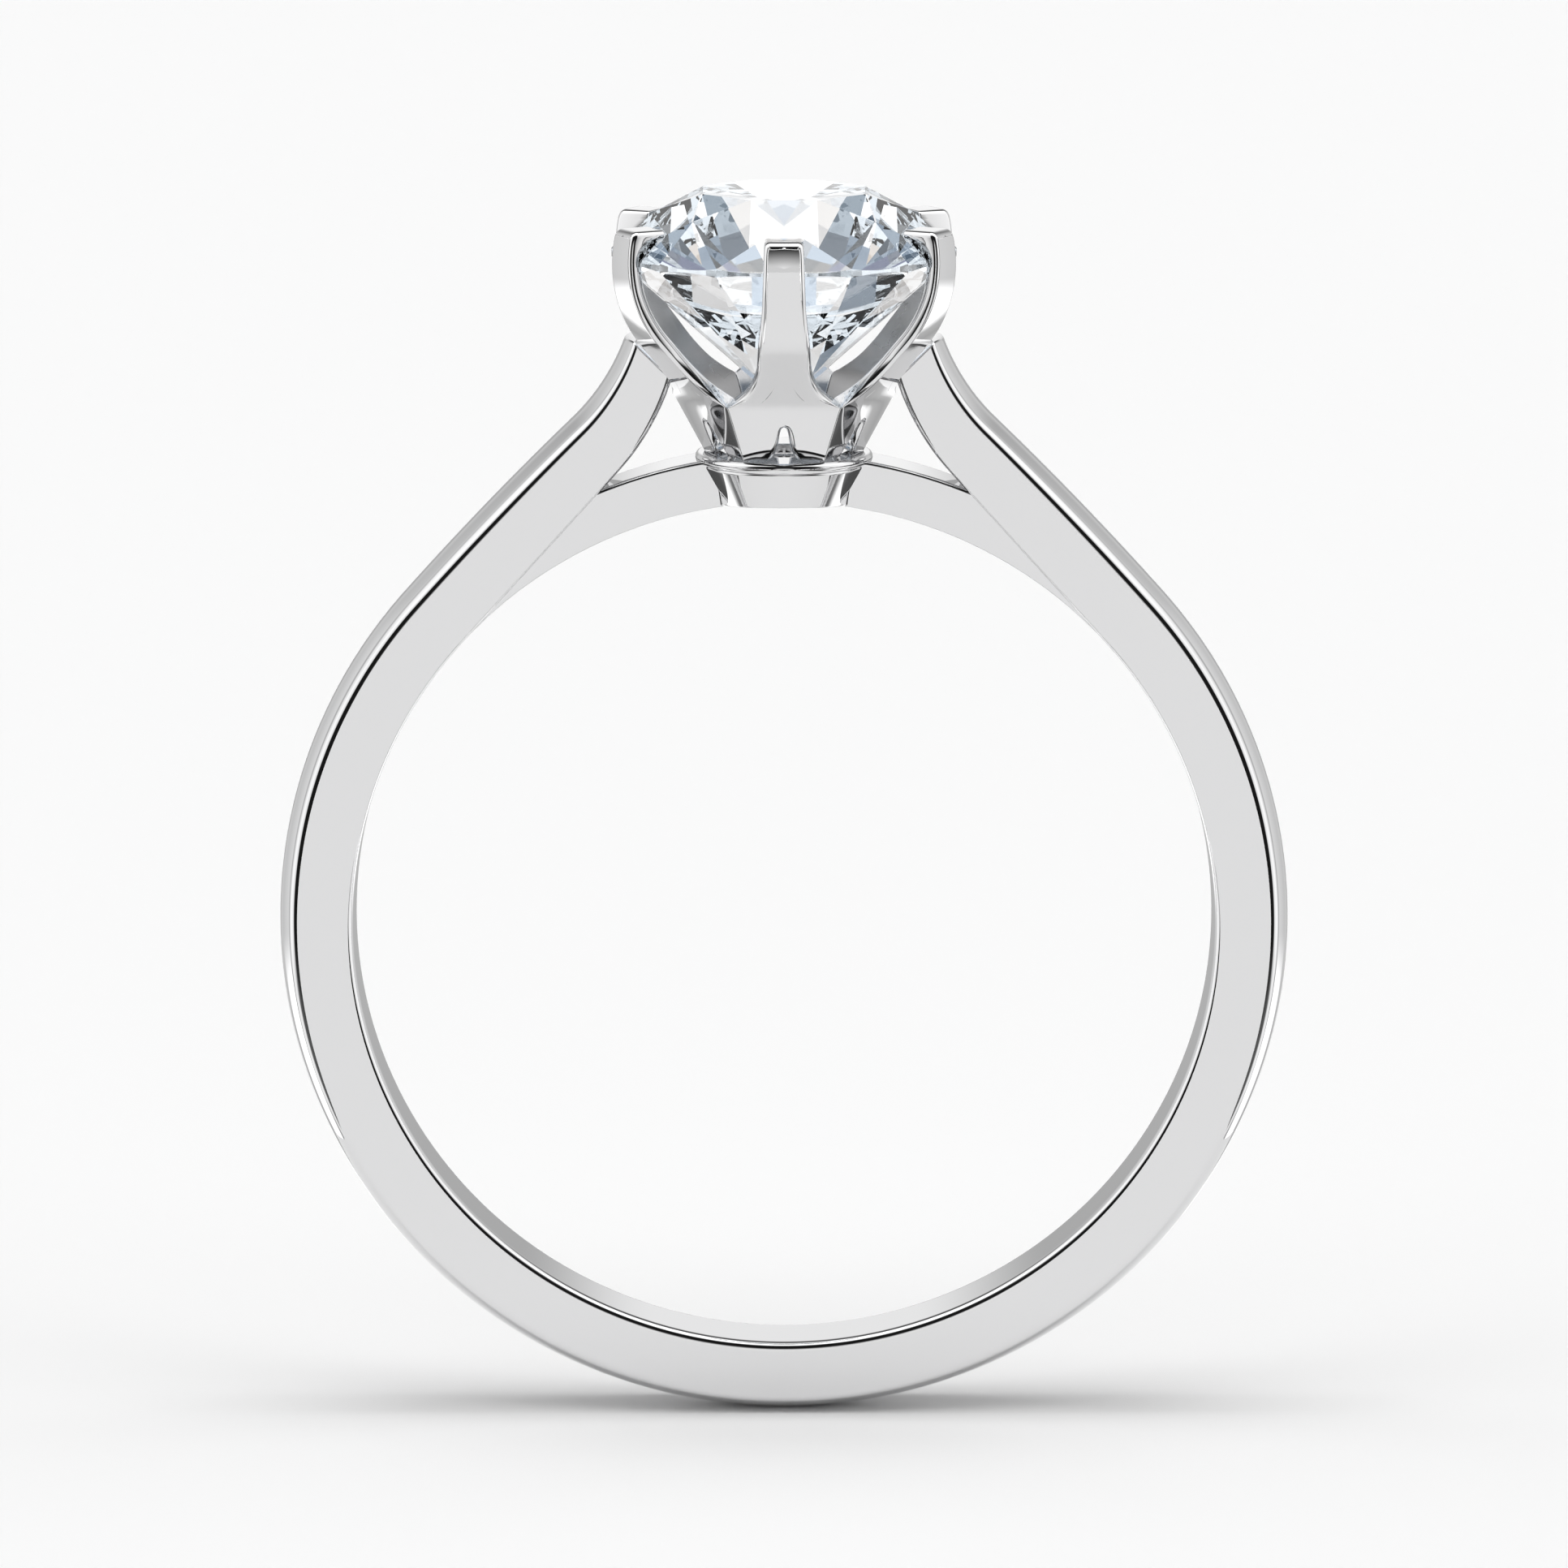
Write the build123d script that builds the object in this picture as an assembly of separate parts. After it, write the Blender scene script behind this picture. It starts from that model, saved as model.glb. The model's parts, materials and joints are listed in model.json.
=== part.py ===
from build123d import *
import math
import os

# A six-claw solitaire ring with cathedral shoulders and an arched bridge under the head.
# Millimetres and degrees. The origin is the centre of the finger hole, +Y runs along the finger
# and +Z points from the finger up through the stone. An azimuth is measured about Z from the
# front of the ring, -Y, towards +X.

# ---- Driving dimensions ----

# finger hole and band
bore_radius = 8.25
band_width = 1.40
band_side_height = 1.14
band_dome_height = 0.29
comfort_radius = 0.15

# cathedral shoulders, as arcs of the band's inner line: a nearly straight run, then a hollow
# rise that lands on the cup just below the cusps between the claws
run_radius = 60.0
rise_radius = 5.5
landing_slope = 60.5
landing_gap = 0.14
landing_drop = 0.24
shoulder_overrun = 1.6

# bridge under the head; its top stands above the collet's top, so that it always meets the wire
bridge_width = 1.22
bridge_rise = 0.22
bridge_bevel = 0.06
bridge_start = 47.0

# under-collet and the bearing wire on it
collet_height = 0.71
collet_foot_radius = 1.21
collet_top_radius = 1.61
collet_hole_radius = 0.80
rim_radius = 1.68
rim_height = 0.20
rim_round = 0.09

# cup of the head, on the middle line of a claw; panel_back sets how flat its six panels are
claw_count = 6
cup_foot_radius = 1.36
cup_height = 1.09
cup_flare = 0.55
cup_wall = 0.30
panel_back = 4.0

# claws
claw_clearance = 0.03
claw_wall = 0.24
belly_radius = 2.32
root_width = 1.00
waist_width = 0.80
tip_width = 0.73
root_height = 0.90
waist_height = 2.20
scoop_radius = 1.00
tip_reach = 0.66
tip_height = 0.55
tip_round = 0.13
tip_corner_round = 0.11

# pierced arch at the foot of each claw
arch_height = 0.67
arch_foot_width = 0.60
arch_neck_width = 0.20
arch_neck_height = 0.42

# stone: a round brilliant
stone_radius = 3.25
table_radius = 1.65
crown_height = 1.09
girdle_thickness = 0.16
pavilion_angle = 40.8
star_length = 0.50
lower_half_length = 0.78
culet_lift = 0.90

# ---- Worked-out sizes ----

sector = 360 / claw_count
bridge_height = collet_height + bridge_rise
rim_z = bore_radius + collet_height
foot_z = rim_z + rim_height
cusp_z = foot_z + cup_height
cusp_radius = cup_foot_radius + cup_flare
culet_z = foot_z + culet_lift
girdle_low_z = culet_z + stone_radius * math.tan(math.radians(pavilion_angle))
girdle_high_z = girdle_low_z + girdle_thickness
girdle_z = (girdle_low_z + girdle_high_z) / 2
table_z = girdle_high_z + crown_height
tip_z = girdle_high_z + tip_height
belly_outer = stone_radius + claw_clearance + claw_wall
belly_centre = (belly_outer - belly_radius, girdle_z)
beyond = 4 * bore_radius


def polar(radius, angle):
    """A point at an angle, in degrees, from the first axis of its plane."""
    turn = math.radians(angle)
    return radius * math.cos(turn), radius * math.sin(turn)


def heading(start, end):
    """The direction from one point to another, in degrees from the first axis."""
    return math.degrees(math.atan2(end[1] - start[1], end[0] - start[0]))


def at_azimuth(shape, azimuth):
    """Turns a shape that was drawn towards +X to an azimuth of the ring."""
    return Rot(0, 0, azimuth - 90) * shape


# ---- Band with its two shoulders ----

def band_section():
    """The band's section, with its inner line at height 0 and its dome upwards."""
    half = band_width / 2
    outline = Polyline(
        (-half, band_side_height), (-half, 0), (half, 0), (half, band_side_height)
    )
    dome = ThreePointArc(
        (half, band_side_height),
        (0, band_side_height + band_dome_height),
        (-half, band_side_height),
    )
    section = make_face(outline + dome)
    inner = section.vertices().group_by(Axis.Y)[0]
    return fillet(inner, comfort_radius)


def shoulder_path():
    """The band's inner line from the bottom of the hoop up the right shoulder."""
    slope = math.radians(landing_slope)
    landing = (cusp_radius + landing_gap, cusp_z - landing_drop)
    rise = (
        landing[0] + rise_radius * math.sin(slope),
        landing[1] + rise_radius * math.cos(slope),
    )
    # the run touches the hoop from outside it and the rise from below it
    to_hoop = run_radius - bore_radius
    to_rise = run_radius + rise_radius
    span = math.hypot(*rise)
    cosine = (to_hoop**2 + span**2 - to_rise**2) / (2 * to_hoop * span)
    run = polar(to_hoop, heading((0, 0), rise) + math.degrees(math.acos(cosine)))
    leave = heading(run, (0, 0))
    join = heading(run, rise)
    land = 270 - landing_slope - math.degrees(shoulder_overrun / rise_radius)
    hoop_arc = CenterArc((0, 0), bore_radius, -90, 90 + leave)
    run_arc = CenterArc(run, run_radius, leave, join - leave)
    rise_arc = CenterArc(rise, rise_radius, join + 180, land - join - 180)
    return Plane.XZ * Wire([hoop_arc, run_arc, rise_arc])


def make_shank(head_space):
    """Half the band carried along its path and mirrored, its ends shaped to the cup."""
    bottom = Plane(origin=(0, 0, -bore_radius), x_dir=(0, -1, 0), z_dir=(1, 0, 0))
    half = sweep(bottom * band_section(), path=shoulder_path())
    return half + mirror(half, about=Plane.YZ) - head_space


# ---- Bridge, collet and bearing wire ----

def make_bridge(shank, collet_space):
    """The right-hand arch between the shoulder and the collet, level with the finger hole."""
    half = bridge_width / 2
    outer = bore_radius + bridge_height
    section = make_face(
        Polyline(
            (bore_radius, -half),
            (outer - bridge_bevel, -half),
            (outer, -half + bridge_bevel),
            (outer, half - bridge_bevel),
            (outer - bridge_bevel, half),
            (bore_radius, half),
            close=True,
        )
    )
    arch = revolve(section, axis=Axis.Y, revolution_arc=90 - bridge_start)
    return Rot(0, -90, 0) * arch - shank - collet_space


def collet_cone(extra):
    """The collet's outer cone, reaching below the finger hole's crown by an extra depth."""
    spread = (collet_top_radius - collet_foot_radius) / collet_height
    low = bore_radius - extra
    low_radius = collet_foot_radius - spread * extra
    half = Polyline(
        (0, low), (low_radius, low), (collet_top_radius, rim_z), (0, rim_z), close=True
    )
    return revolve(Plane.XZ * make_face(half), axis=Axis.Z)


def finger_hole():
    return Rot(90, 0, 0) * Cylinder(bore_radius, beyond)


def make_collet():
    """The open cone under the head, trimmed flush with the finger hole."""
    sag = bore_radius - math.sqrt(bore_radius**2 - collet_top_radius**2)
    hole = Pos(0, 0, rim_z) * Cylinder(collet_hole_radius, 4 * collet_height)
    return collet_cone(2 * sag) - finger_hole() - hole


def make_rim():
    """The round bearing wire between the collet and the cup."""
    middle = Pos(0, 0, rim_z + rim_height / 2)
    wire = Cylinder(rim_radius, rim_height)
    edges = wire.edges().filter_by(GeomType.CIRCLE)
    return middle * (fillet(edges, rim_round) - Cylinder(collet_hole_radius, rim_height))


# ---- Stone ----

def facet(stone, point_a, point_b, point_c):
    """Grinds away what lies outside the plane through three points."""
    ground = Plane(
        origin=point_a,
        x_dir=Vector(point_b) - Vector(point_a),
        z_dir=(Vector(point_b) - Vector(point_a)).cross(Vector(point_c) - Vector(point_a)),
    )
    centre = ground.to_local_coords(Vector(0, 0, girdle_z))
    keep = Keep.TOP if centre.Z > 0 else Keep.BOTTOM
    return split(stone, bisect_by=ground, keep=keep)


def on_stone(radius, angle, height):
    return Vector(*polar(radius, angle), height)


def make_stone():
    """A round brilliant: table, eight stars, eight kites, sixteen halves above and below."""
    step = 45
    middle = step / 2
    crown_slope = crown_height / (stone_radius - table_radius)
    table_edge = table_radius * math.cos(math.radians(middle))
    star_tip = table_edge + star_length * (stone_radius - table_edge)
    kite_reach = star_tip * math.cos(math.radians(middle)) - table_radius
    star_z = table_z - crown_slope * kite_reach
    half_tip = (1 - lower_half_length) * stone_radius
    pavilion_slope = math.tan(math.radians(pavilion_angle))
    half_z = culet_z + pavilion_slope * half_tip * math.cos(math.radians(middle))
    girdle_touch = stone_radius / math.cos(math.radians(middle / 2))
    height = table_z - culet_z
    stone = Pos(0, 0, culet_z + height / 2) * Cylinder(stone_radius, height)
    for index in range(8):
        edge = index * step
        kite = edge + middle
        crown_foot = on_stone(stone_radius, kite, girdle_high_z)
        crown_side = on_stone(1, kite + 90, 0)
        stone = facet(
            stone, crown_foot, crown_foot + crown_side, on_stone(table_radius, kite, table_z)
        )
        main_foot = on_stone(stone_radius, kite, girdle_low_z)
        stone = facet(stone, main_foot, main_foot + crown_side, Vector(0, 0, culet_z))
        stone = facet(
            stone,
            on_stone(table_radius, edge - middle, table_z),
            on_stone(table_radius, edge + middle, table_z),
            on_stone(star_tip, edge, star_z),
        )
        for side in (-1, 1):
            stone = facet(
                stone,
                on_stone(star_tip, edge, star_z),
                on_stone(girdle_touch, edge, girdle_high_z),
                on_stone(girdle_touch, edge + side * middle, girdle_high_z),
            )
            stone = facet(
                stone,
                on_stone(half_tip, edge, half_z),
                on_stone(girdle_touch, edge, girdle_low_z),
                on_stone(girdle_touch, edge + side * middle, girdle_low_z),
            )
    return stone


# ---- Head ----

def belly_touch(corner, radius):
    """The angle at which a line from a point below touches the belly's circle."""
    span = math.dist(corner, belly_centre)
    return heading(belly_centre, corner) + math.degrees(math.acos(radius / span))


def belly_point(radius, angle):
    x, z = polar(radius, angle)
    return belly_centre[0] + x, belly_centre[1] + z


def sector_wedge(azimuth):
    """The sixth of the head that belongs to one claw."""
    reach = 2 * belly_outer
    corners = [(0, 0), polar(reach, -sector / 2), polar(reach, sector / 2)]
    wedge = extrude(make_face(Polyline(*corners, close=True)), 2 * table_z)
    return at_azimuth(wedge, azimuth)


def turn_panel(profile, azimuth):
    """Carries a side profile round the arc that curves one panel of the head."""
    face = Plane.XZ * profile
    axis = Axis((-panel_back, 0, 0), (0, 0, 1))
    panel = revolve(face, axis=axis, revolution_arc=sector)
    centred = Pos(-panel_back, 0, 0) * Rot(0, 0, -sector / 2) * Pos(panel_back, 0, 0) * panel
    return at_azimuth(centred, azimuth) & sector_wedge(azimuth)


def outer_line(top_angle):
    """The outside of a claw from its foot up: cup, flare and belly."""
    cusp = (cusp_radius, cusp_z)
    touch = belly_touch(cusp, belly_radius)
    cup = Polyline((cup_foot_radius, foot_z), cusp, belly_point(belly_radius, touch))
    belly = CenterArc(belly_centre, belly_radius, touch, top_angle - touch)
    return cup + belly


def make_head_space():
    """The closed outer shape of the cup, which trims what lands on it."""
    profile = make_face(
        outer_line(0)
        + Polyline(
            (belly_outer, girdle_z),
            (-cup_wall, girdle_z),
            (-cup_wall, foot_z),
            (cup_foot_radius, foot_z),
        )
    )
    space = turn_panel(profile, 0)
    for index in range(1, claw_count):
        space += turn_panel(profile, index * sector)
    return space


def claw_profile():
    """A claw from the side: its wall, and the block over the stone that becomes the tip."""
    top_angle = math.degrees(math.asin((tip_z - girdle_z) / belly_radius))
    outer_top = belly_point(belly_radius, top_angle)
    inner_radius = belly_radius - claw_wall
    lean = math.atan2(cup_flare, cup_height)
    inner_cusp = (cusp_radius - cup_wall * math.cos(lean), cusp_z + cup_wall * math.sin(lean))
    inner_foot = (cup_foot_radius - cup_wall / math.cos(lean), foot_z)
    inner_touch = belly_touch(inner_cusp, inner_radius)
    tip_inside = outer_top[0] - tip_reach
    outside = outer_line(top_angle)
    tip = Polyline(
        outer_top,
        (tip_inside, tip_z),
        (tip_inside, girdle_z),
        belly_point(inner_radius, 0),
    )
    belly = CenterArc(belly_centre, inner_radius, 0, inner_touch)
    cup = Polyline(
        belly_point(inner_radius, inner_touch), inner_cusp, inner_foot, (cup_foot_radius, foot_z)
    )
    profile = make_face(outside + tip + belly + cup)
    top = profile.vertices().group_by(Axis.Y)[-1]
    return fillet(top, tip_round)


def claw_outline():
    """A claw from the front: full width below the cusps, scooped in to a slim blade above."""
    scoop_z = cusp_z + root_height
    scoop_centre = (root_width / 2 + scoop_radius, scoop_z)
    root = (root_width / 2, scoop_z)
    shoulder = (scoop_centre[0], scoop_z - scoop_radius)
    side = Spline(root, (waist_width / 2, cusp_z + waist_height), (tip_width / 2, tip_z))
    half = make_face(
        Polyline((tip_width / 2, tip_z), (0, tip_z), (0, rim_z), (beyond, rim_z))
        + Polyline((beyond, rim_z), (beyond, shoulder[1]), shoulder)
        + CenterArc(scoop_centre, scoop_radius, 180, 90)
        + side
    )
    outline = half + mirror(half, about=Plane.YZ)
    corners = outline.vertices().group_by(Axis.Y)[-1]
    return fillet(corners.sort_by(Axis.X)[0::len(corners) - 1], tip_corner_round)


def arch_outline():
    """The pierced arch: a round head, a narrow neck and a foot that flares."""
    half_neck = arch_neck_width / 2
    half_foot = arch_foot_width / 2
    crown = (0, foot_z + arch_height)
    neck = (half_neck, foot_z + arch_neck_height)
    foot = (half_foot, foot_z)
    side = Spline(crown, neck, foot, tangents=[(1, 0), (1, -0.6)])
    bottom = Polyline(foot, (half_foot, rim_z), (0, rim_z), crown)
    half = make_face(side + bottom)
    return half + mirror(half, about=Plane.YZ)


def claw_cutter(outline, azimuth):
    """Pushes a front outline outwards from the ring's axis."""
    front = Plane(origin=(0, 0, 0), x_dir=(0, 1, 0), z_dir=(1, 0, 0))
    return at_azimuth(extrude(front * outline, beyond), azimuth)


def make_claw(azimuth, stone):
    panel = turn_panel(claw_profile(), azimuth)
    claw = panel & claw_cutter(claw_outline(), azimuth)
    return claw - claw_cutter(arch_outline(), azimuth) - stone


# ---- Assembly ----

claw_names = [
    "claw_front",
    "claw_front_right",
    "claw_back_right",
    "claw_back",
    "claw_back_left",
    "claw_front_left",
]


def main():
    head_space = make_head_space()
    rim = make_rim()
    shank = make_shank(head_space)
    wire_space = Pos(0, 0, rim_z + bridge_height / 2) * Cylinder(rim_radius, bridge_height)
    stone = make_stone()
    bridge = make_bridge(shank, collet_cone(collet_height) + wire_space)
    nodes = {
        "shank": shank,
        "bridge_right": bridge,
        "bridge_left": mirror(bridge, about=Plane.YZ),
        "collet": make_collet(),
        "bearing_wire": rim,
        "stone": stone,
    }
    for index, name in enumerate(claw_names):
        nodes[name] = make_claw(index * sector, stone)
    os.makedirs("parts", exist_ok=True)
    for name, solid in nodes.items():
        export_step(solid, f"parts/{name}.step")
        print(f"{name}: {len(solid.solids())} solid, {solid.volume:.2f} cubic mm")


main()
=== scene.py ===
import bpy
import json
import math
import numpy as np
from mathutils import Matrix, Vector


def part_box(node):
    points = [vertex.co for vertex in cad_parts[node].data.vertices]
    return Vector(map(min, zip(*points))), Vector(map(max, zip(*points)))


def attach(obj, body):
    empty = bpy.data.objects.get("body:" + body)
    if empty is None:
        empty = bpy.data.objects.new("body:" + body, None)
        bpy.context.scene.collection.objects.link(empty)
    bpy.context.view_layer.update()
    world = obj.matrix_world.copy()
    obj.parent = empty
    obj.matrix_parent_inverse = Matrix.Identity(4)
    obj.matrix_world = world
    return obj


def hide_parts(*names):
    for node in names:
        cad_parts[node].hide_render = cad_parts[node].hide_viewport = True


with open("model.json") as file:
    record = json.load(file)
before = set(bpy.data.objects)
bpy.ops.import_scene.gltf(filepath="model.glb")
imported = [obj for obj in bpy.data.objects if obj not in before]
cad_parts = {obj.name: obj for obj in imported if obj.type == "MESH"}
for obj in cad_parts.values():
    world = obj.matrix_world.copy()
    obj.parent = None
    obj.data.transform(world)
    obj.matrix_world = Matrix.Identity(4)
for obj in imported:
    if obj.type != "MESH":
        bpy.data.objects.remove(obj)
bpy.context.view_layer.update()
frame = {"nodes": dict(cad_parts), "record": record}
print("frame loaded:", len(frame["nodes"]), "nodes")

mm = 0.001  # every size below is in millimetres and becomes metres when a mesh is made

boreRadius = frame["record"]["mounts"][0]["dims"]["r_mm"]
wireLow, wireHigh = (np.array(corner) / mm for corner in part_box("bearing_wire"))
stoneLow, stoneHigh = (np.array(corner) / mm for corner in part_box("stone"))
shankLow = np.array(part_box("shank")[0]) / mm


def gridQuads(rows, columns, wrapRows=False, wrapColumns=False):
    # four corner numbers for each cell of a grid of points, numbered row by row
    down = np.arange(rows if wrapRows else rows - 1)
    across = np.arange(columns if wrapColumns else columns - 1)
    row, column = np.meshgrid(down, across, indexing="ij")
    nextRow = (row + 1) % rows
    nextColumn = (column + 1) % columns
    corners = [
        row * columns + column,
        row * columns + nextColumn,
        nextRow * columns + nextColumn,
        nextRow * columns + column,
    ]
    return np.stack(corners, axis=-1).reshape(-1, 4)


def ringQuads(ringA, ringB):
    # joins two closed rings of point numbers with a band of cells
    return np.stack([ringA, np.roll(ringA, -1), np.roll(ringB, -1), ringB], axis=-1)


def signedVolume(points, faces):
    # a sixth of the sum of triple products of each face's fan of triangles
    total = 0.0
    for face in faces:
        face = np.atleast_2d(np.asarray(face))
        for k in range(1, face.shape[1] - 1):
            a, b, c = points[face[:, 0]], points[face[:, k]], points[face[:, k + 1]]
            total += np.einsum("ij,ij->", a, np.cross(b, c)) / 6
    return total


def addPiece(name, points, faces, material, smooth=True):
    # faces is a list of arrays, each with the corner numbers of faces that have equally many sides
    if signedVolume(points, faces) < 0:
        faces = [np.asarray(block)[..., ::-1] for block in faces]
    cells = []
    for block in faces:
        cells += np.atleast_2d(block).tolist()
    mesh = bpy.data.meshes.new(name)
    mesh.from_pydata((points * mm).tolist(), [], cells)
    mesh.polygons.foreach_set("use_smooth", np.full(len(cells), smooth))
    mesh.validate()
    mesh.update()
    piece = bpy.data.objects.new(name, mesh)
    bpy.context.scene.collection.objects.link(piece)
    mesh.materials.append(material)
    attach(piece, "root")
    # the stone's depths show the room and not the metal round it
    piece.visible_transmission = not smooth
    return piece


def smoothStep(low, high, value):
    # 0 below low, 1 above high, and a cubic S between them
    share = np.clip((value - low) / (high - low), 0, 1)
    return share * share * (3 - 2 * share)


def roundedLoop(corners, radii, steps=7, hold=0.02):
    # a closed outline whose corners are arcs, with a point held close beside each arc so that the
    # flats between them shade flat
    corners = np.array(corners, float)
    loop = []
    for i in range(len(corners)):
        here = corners[i]
        before = corners[i - 1] - here
        after = corners[(i + 1) % len(corners)] - here
        before /= np.linalg.norm(before)
        after /= np.linalg.norm(after)
        half = math.acos(np.clip(before @ after, -1, 1)) / 2
        reach = radii[i] / math.tan(half)
        middle = (before + after) / np.linalg.norm(before + after)
        centre = here + middle * radii[i] / math.sin(half)
        start = here + before * reach - centre
        end = here + after * reach - centre
        turn = math.pi - 2 * half
        share = np.linspace(0, 1, steps)[:, None]
        arc = (np.sin((1 - share) * turn) * start + np.sin(share * turn) * end) / math.sin(turn)
        loop.append(here + before * (reach + hold))
        loop += list(centre + arc)
        loop.append(here + after * (reach + hold))
    return np.array(loop)


def newMaterial(name):
    # a Principled material, and the coordinates its patterns are laid on
    material = bpy.data.materials.new(name)
    material.use_nodes = True
    tree = material.node_tree
    shader = tree.nodes["Principled BSDF"]
    place = tree.nodes.new("ShaderNodeTexCoord")
    return material, tree, shader, place


def noiseAt(tree, place, scale, detail, stretch=(1, 1, 1)):
    # a noise on Object coordinates, stretched along the piece's own axes
    mapping = tree.nodes.new("ShaderNodeMapping")
    mapping.inputs["Scale"].default_value = stretch
    noise = tree.nodes.new("ShaderNodeTexNoise")
    noise.inputs["Scale"].default_value = scale
    noise.inputs["Detail"].default_value = detail
    tree.links.new(place.outputs["Object"], mapping.inputs["Vector"])
    tree.links.new(mapping.outputs["Vector"], noise.inputs["Vector"])
    return noise.outputs["Fac"]


noiseSpan = (0.3, 0.7)  # nearly all of a noise's values lie between these


def ranged(tree, value, low, high):
    # spreads a noise value over the range from low to high
    spread = tree.nodes.new("ShaderNodeMapRange")
    spread.inputs["From Min"].default_value = noiseSpan[0]
    spread.inputs["From Max"].default_value = noiseSpan[1]
    spread.inputs["To Min"].default_value = low
    spread.inputs["To Max"].default_value = high
    tree.links.new(value, spread.inputs["Value"])
    return spread.outputs["Result"]


def mathNode(tree, operation, *values):
    # one sum on numbers or on other nodes' outputs
    node = tree.nodes.new("ShaderNodeMath")
    node.operation = operation
    for socket, value in zip(node.inputs, values):
        if isinstance(value, (int, float)):
            socket.default_value = value
        else:
            tree.links.new(value, socket)
    return node.outputs["Value"]


def stepNode(tree, value, low, high):
    # 0 below low and 1 above high, smoothly
    node = tree.nodes.new("ShaderNodeMapRange")
    node.interpolation_type = "SMOOTHSTEP"
    node.inputs["From Min"].default_value = low
    node.inputs["From Max"].default_value = high
    tree.links.new(value, node.inputs["Value"])
    return node.outputs["Result"]


metalFinish = {
    "colour": (0.755, 0.755, 0.76),
    "hazeScale": 900.0,
    "haze": (0.018, 0.045),
    "wearScale": 5200.0,
    "wear": 0.0000012,
    "wearStrength": 0.04,
    # the inside's haze is real roughness; its darker colour is painted shade, standing in for the shade
    # and dark reflections inside the claws
    "insideShadeColour": (0.5, 0.5, 0.505),
    "insideHaze": (0.16, 0.3),  # the inside of the head is duller, as a wheel can't reach it
}


def makeMetal(name, stretch, colour, roughness):
    # mirror polish, with a faint haze and buffing marks that run along the stretched axis
    material, tree, shader, place = newMaterial(name)
    shader.inputs["Base Color"].default_value = (*colour, 1)
    shader.inputs["Metallic"].default_value = 1
    haze = noiseAt(tree, place, metalFinish["hazeScale"], 3)
    tree.links.new(ranged(tree, haze, *roughness), shader.inputs["Roughness"])
    marks = noiseAt(tree, place, metalFinish["wearScale"], 2, stretch)
    bump = tree.nodes.new("ShaderNodeBump")
    bump.inputs["Strength"].default_value = metalFinish["wearStrength"]
    bump.inputs["Distance"].default_value = metalFinish["wear"]
    tree.links.new(marks, bump.inputs["Height"])
    tree.links.new(bump.outputs["Normal"], shader.inputs["Normal"])
    return material


mirror = metalFinish["colour"], metalFinish["haze"]
bandMetal = makeMetal("bandMetal", (1, 0.15, 1), *mirror)
headMetal = makeMetal("headMetal", (1, 1, 0.15), *mirror)
# the claws' inner sheets: rougher metal, darkened with painted shade
dullShadedInside = makeMetal("dullShadedInside", (1, 1, 0.15), metalFinish["insideShadeColour"],
                       metalFinish["insideHaze"])


head = {
    "clawCount": 6,
    "cupFoot": 1.36,  # radius on the middle line of a claw
    "cupHeight": 1.09,
    "cupFlare": 0.55,
    "cupWall": 0.30,
    "panelBack": 4.0,  # how far behind the ring's axis a panel's own axis lies
    "bellyRadius": 2.32,
    "clawWall": 0.24,
    "clawClearance": 0.03,
    "bend": 0.02,  # softness of the change of slope at the cusps
}
footZ = wireHigh[2]
cuspZ = footZ + head["cupHeight"]
cuspRadius = head["cupFoot"] + head["cupFlare"]
stoneRadius = (stoneHigh[0] - stoneLow[0]) / 2

stone = {
    "tableRadius": 1.65,
    "crownHeight": 1.09,
    "girdle": 0.16,
    "starLength": 0.50,
    "lowerHalf": 0.78,
    "girdleCuts": 6,  # sides of the girdle beside each half facet
}
tableZ = stoneHigh[2]
culetZ = stoneLow[2]
girdleTopZ = tableZ - stone["crownHeight"]
girdleLowZ = girdleTopZ - stone["girdle"]
bellyOuter = stoneRadius + head["clawClearance"] + head["clawWall"]
bellyCentre = np.array([bellyOuter - head["bellyRadius"], (girdleTopZ + girdleLowZ) / 2])


def bellyTouchAngle():
    # where the line from the cusp touches the belly's circle
    toCusp = np.array([cuspRadius, cuspZ]) - bellyCentre
    spread = math.acos(head["bellyRadius"] / np.hypot(*toCusp))
    return math.atan2(toCusp[1], toCusp[0]) + spread


touchAngle = bellyTouchAngle()
touchZ = bellyCentre[1] + head["bellyRadius"] * math.sin(touchAngle)


def outerRadius(z):
    # radius of a claw's middle line at a height: two lines joined softly at the cusp, then a circle
    cupLine = head["cupFoot"] + head["cupFlare"] * (z - footZ) / head["cupHeight"]
    flareLine = cuspRadius + (z - cuspZ) * math.tan(-touchAngle)
    bend = head["bend"]
    lines = cupLine + bend * np.logaddexp(0, (flareLine - cupLine) / bend)
    rise = np.clip(z - bellyCentre[1], -head["bellyRadius"], head["bellyRadius"])
    circle = bellyCentre[0] + np.sqrt(head["bellyRadius"] ** 2 - rise**2)
    return np.where(z < touchZ, lines, circle)


def outerNormal(z):
    # the outward direction of that line, from the slope between two close heights
    near = 1e-4
    slope = (outerRadius(z + near) - outerRadius(z - near)) / (2 * near)
    size = np.sqrt(1 + slope**2)
    return 1 / size, -slope / size


def panelX(radius, across):
    # a panel is an arc about an axis behind the ring's: its reach at a distance across
    back = head["panelBack"]
    return np.sqrt((radius + back) ** 2 - across**2) - back


def mitreHalf(radius):
    # half the width of a panel where it meets its neighbours at a sixth of a turn
    back = head["panelBack"]
    half = math.pi / head["clawCount"]
    reach = -back * math.cos(half) + np.sqrt(
        (back * math.cos(half)) ** 2 + radius**2 + 2 * radius * back
    )
    return reach * math.sin(half)


def outsideHead(x, y, z):
    # how far a point lies outside the six panels, measured sideways
    sixth = 2 * math.pi / head["clawCount"]
    turn = np.arctan2(x, -y)
    off = turn - sixth * np.round(turn / sixth)
    reach = np.hypot(x, y)
    back = head["panelBack"]
    return np.hypot(reach * np.cos(off) + back, reach * np.sin(off)) - back - outerRadius(z)


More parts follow.
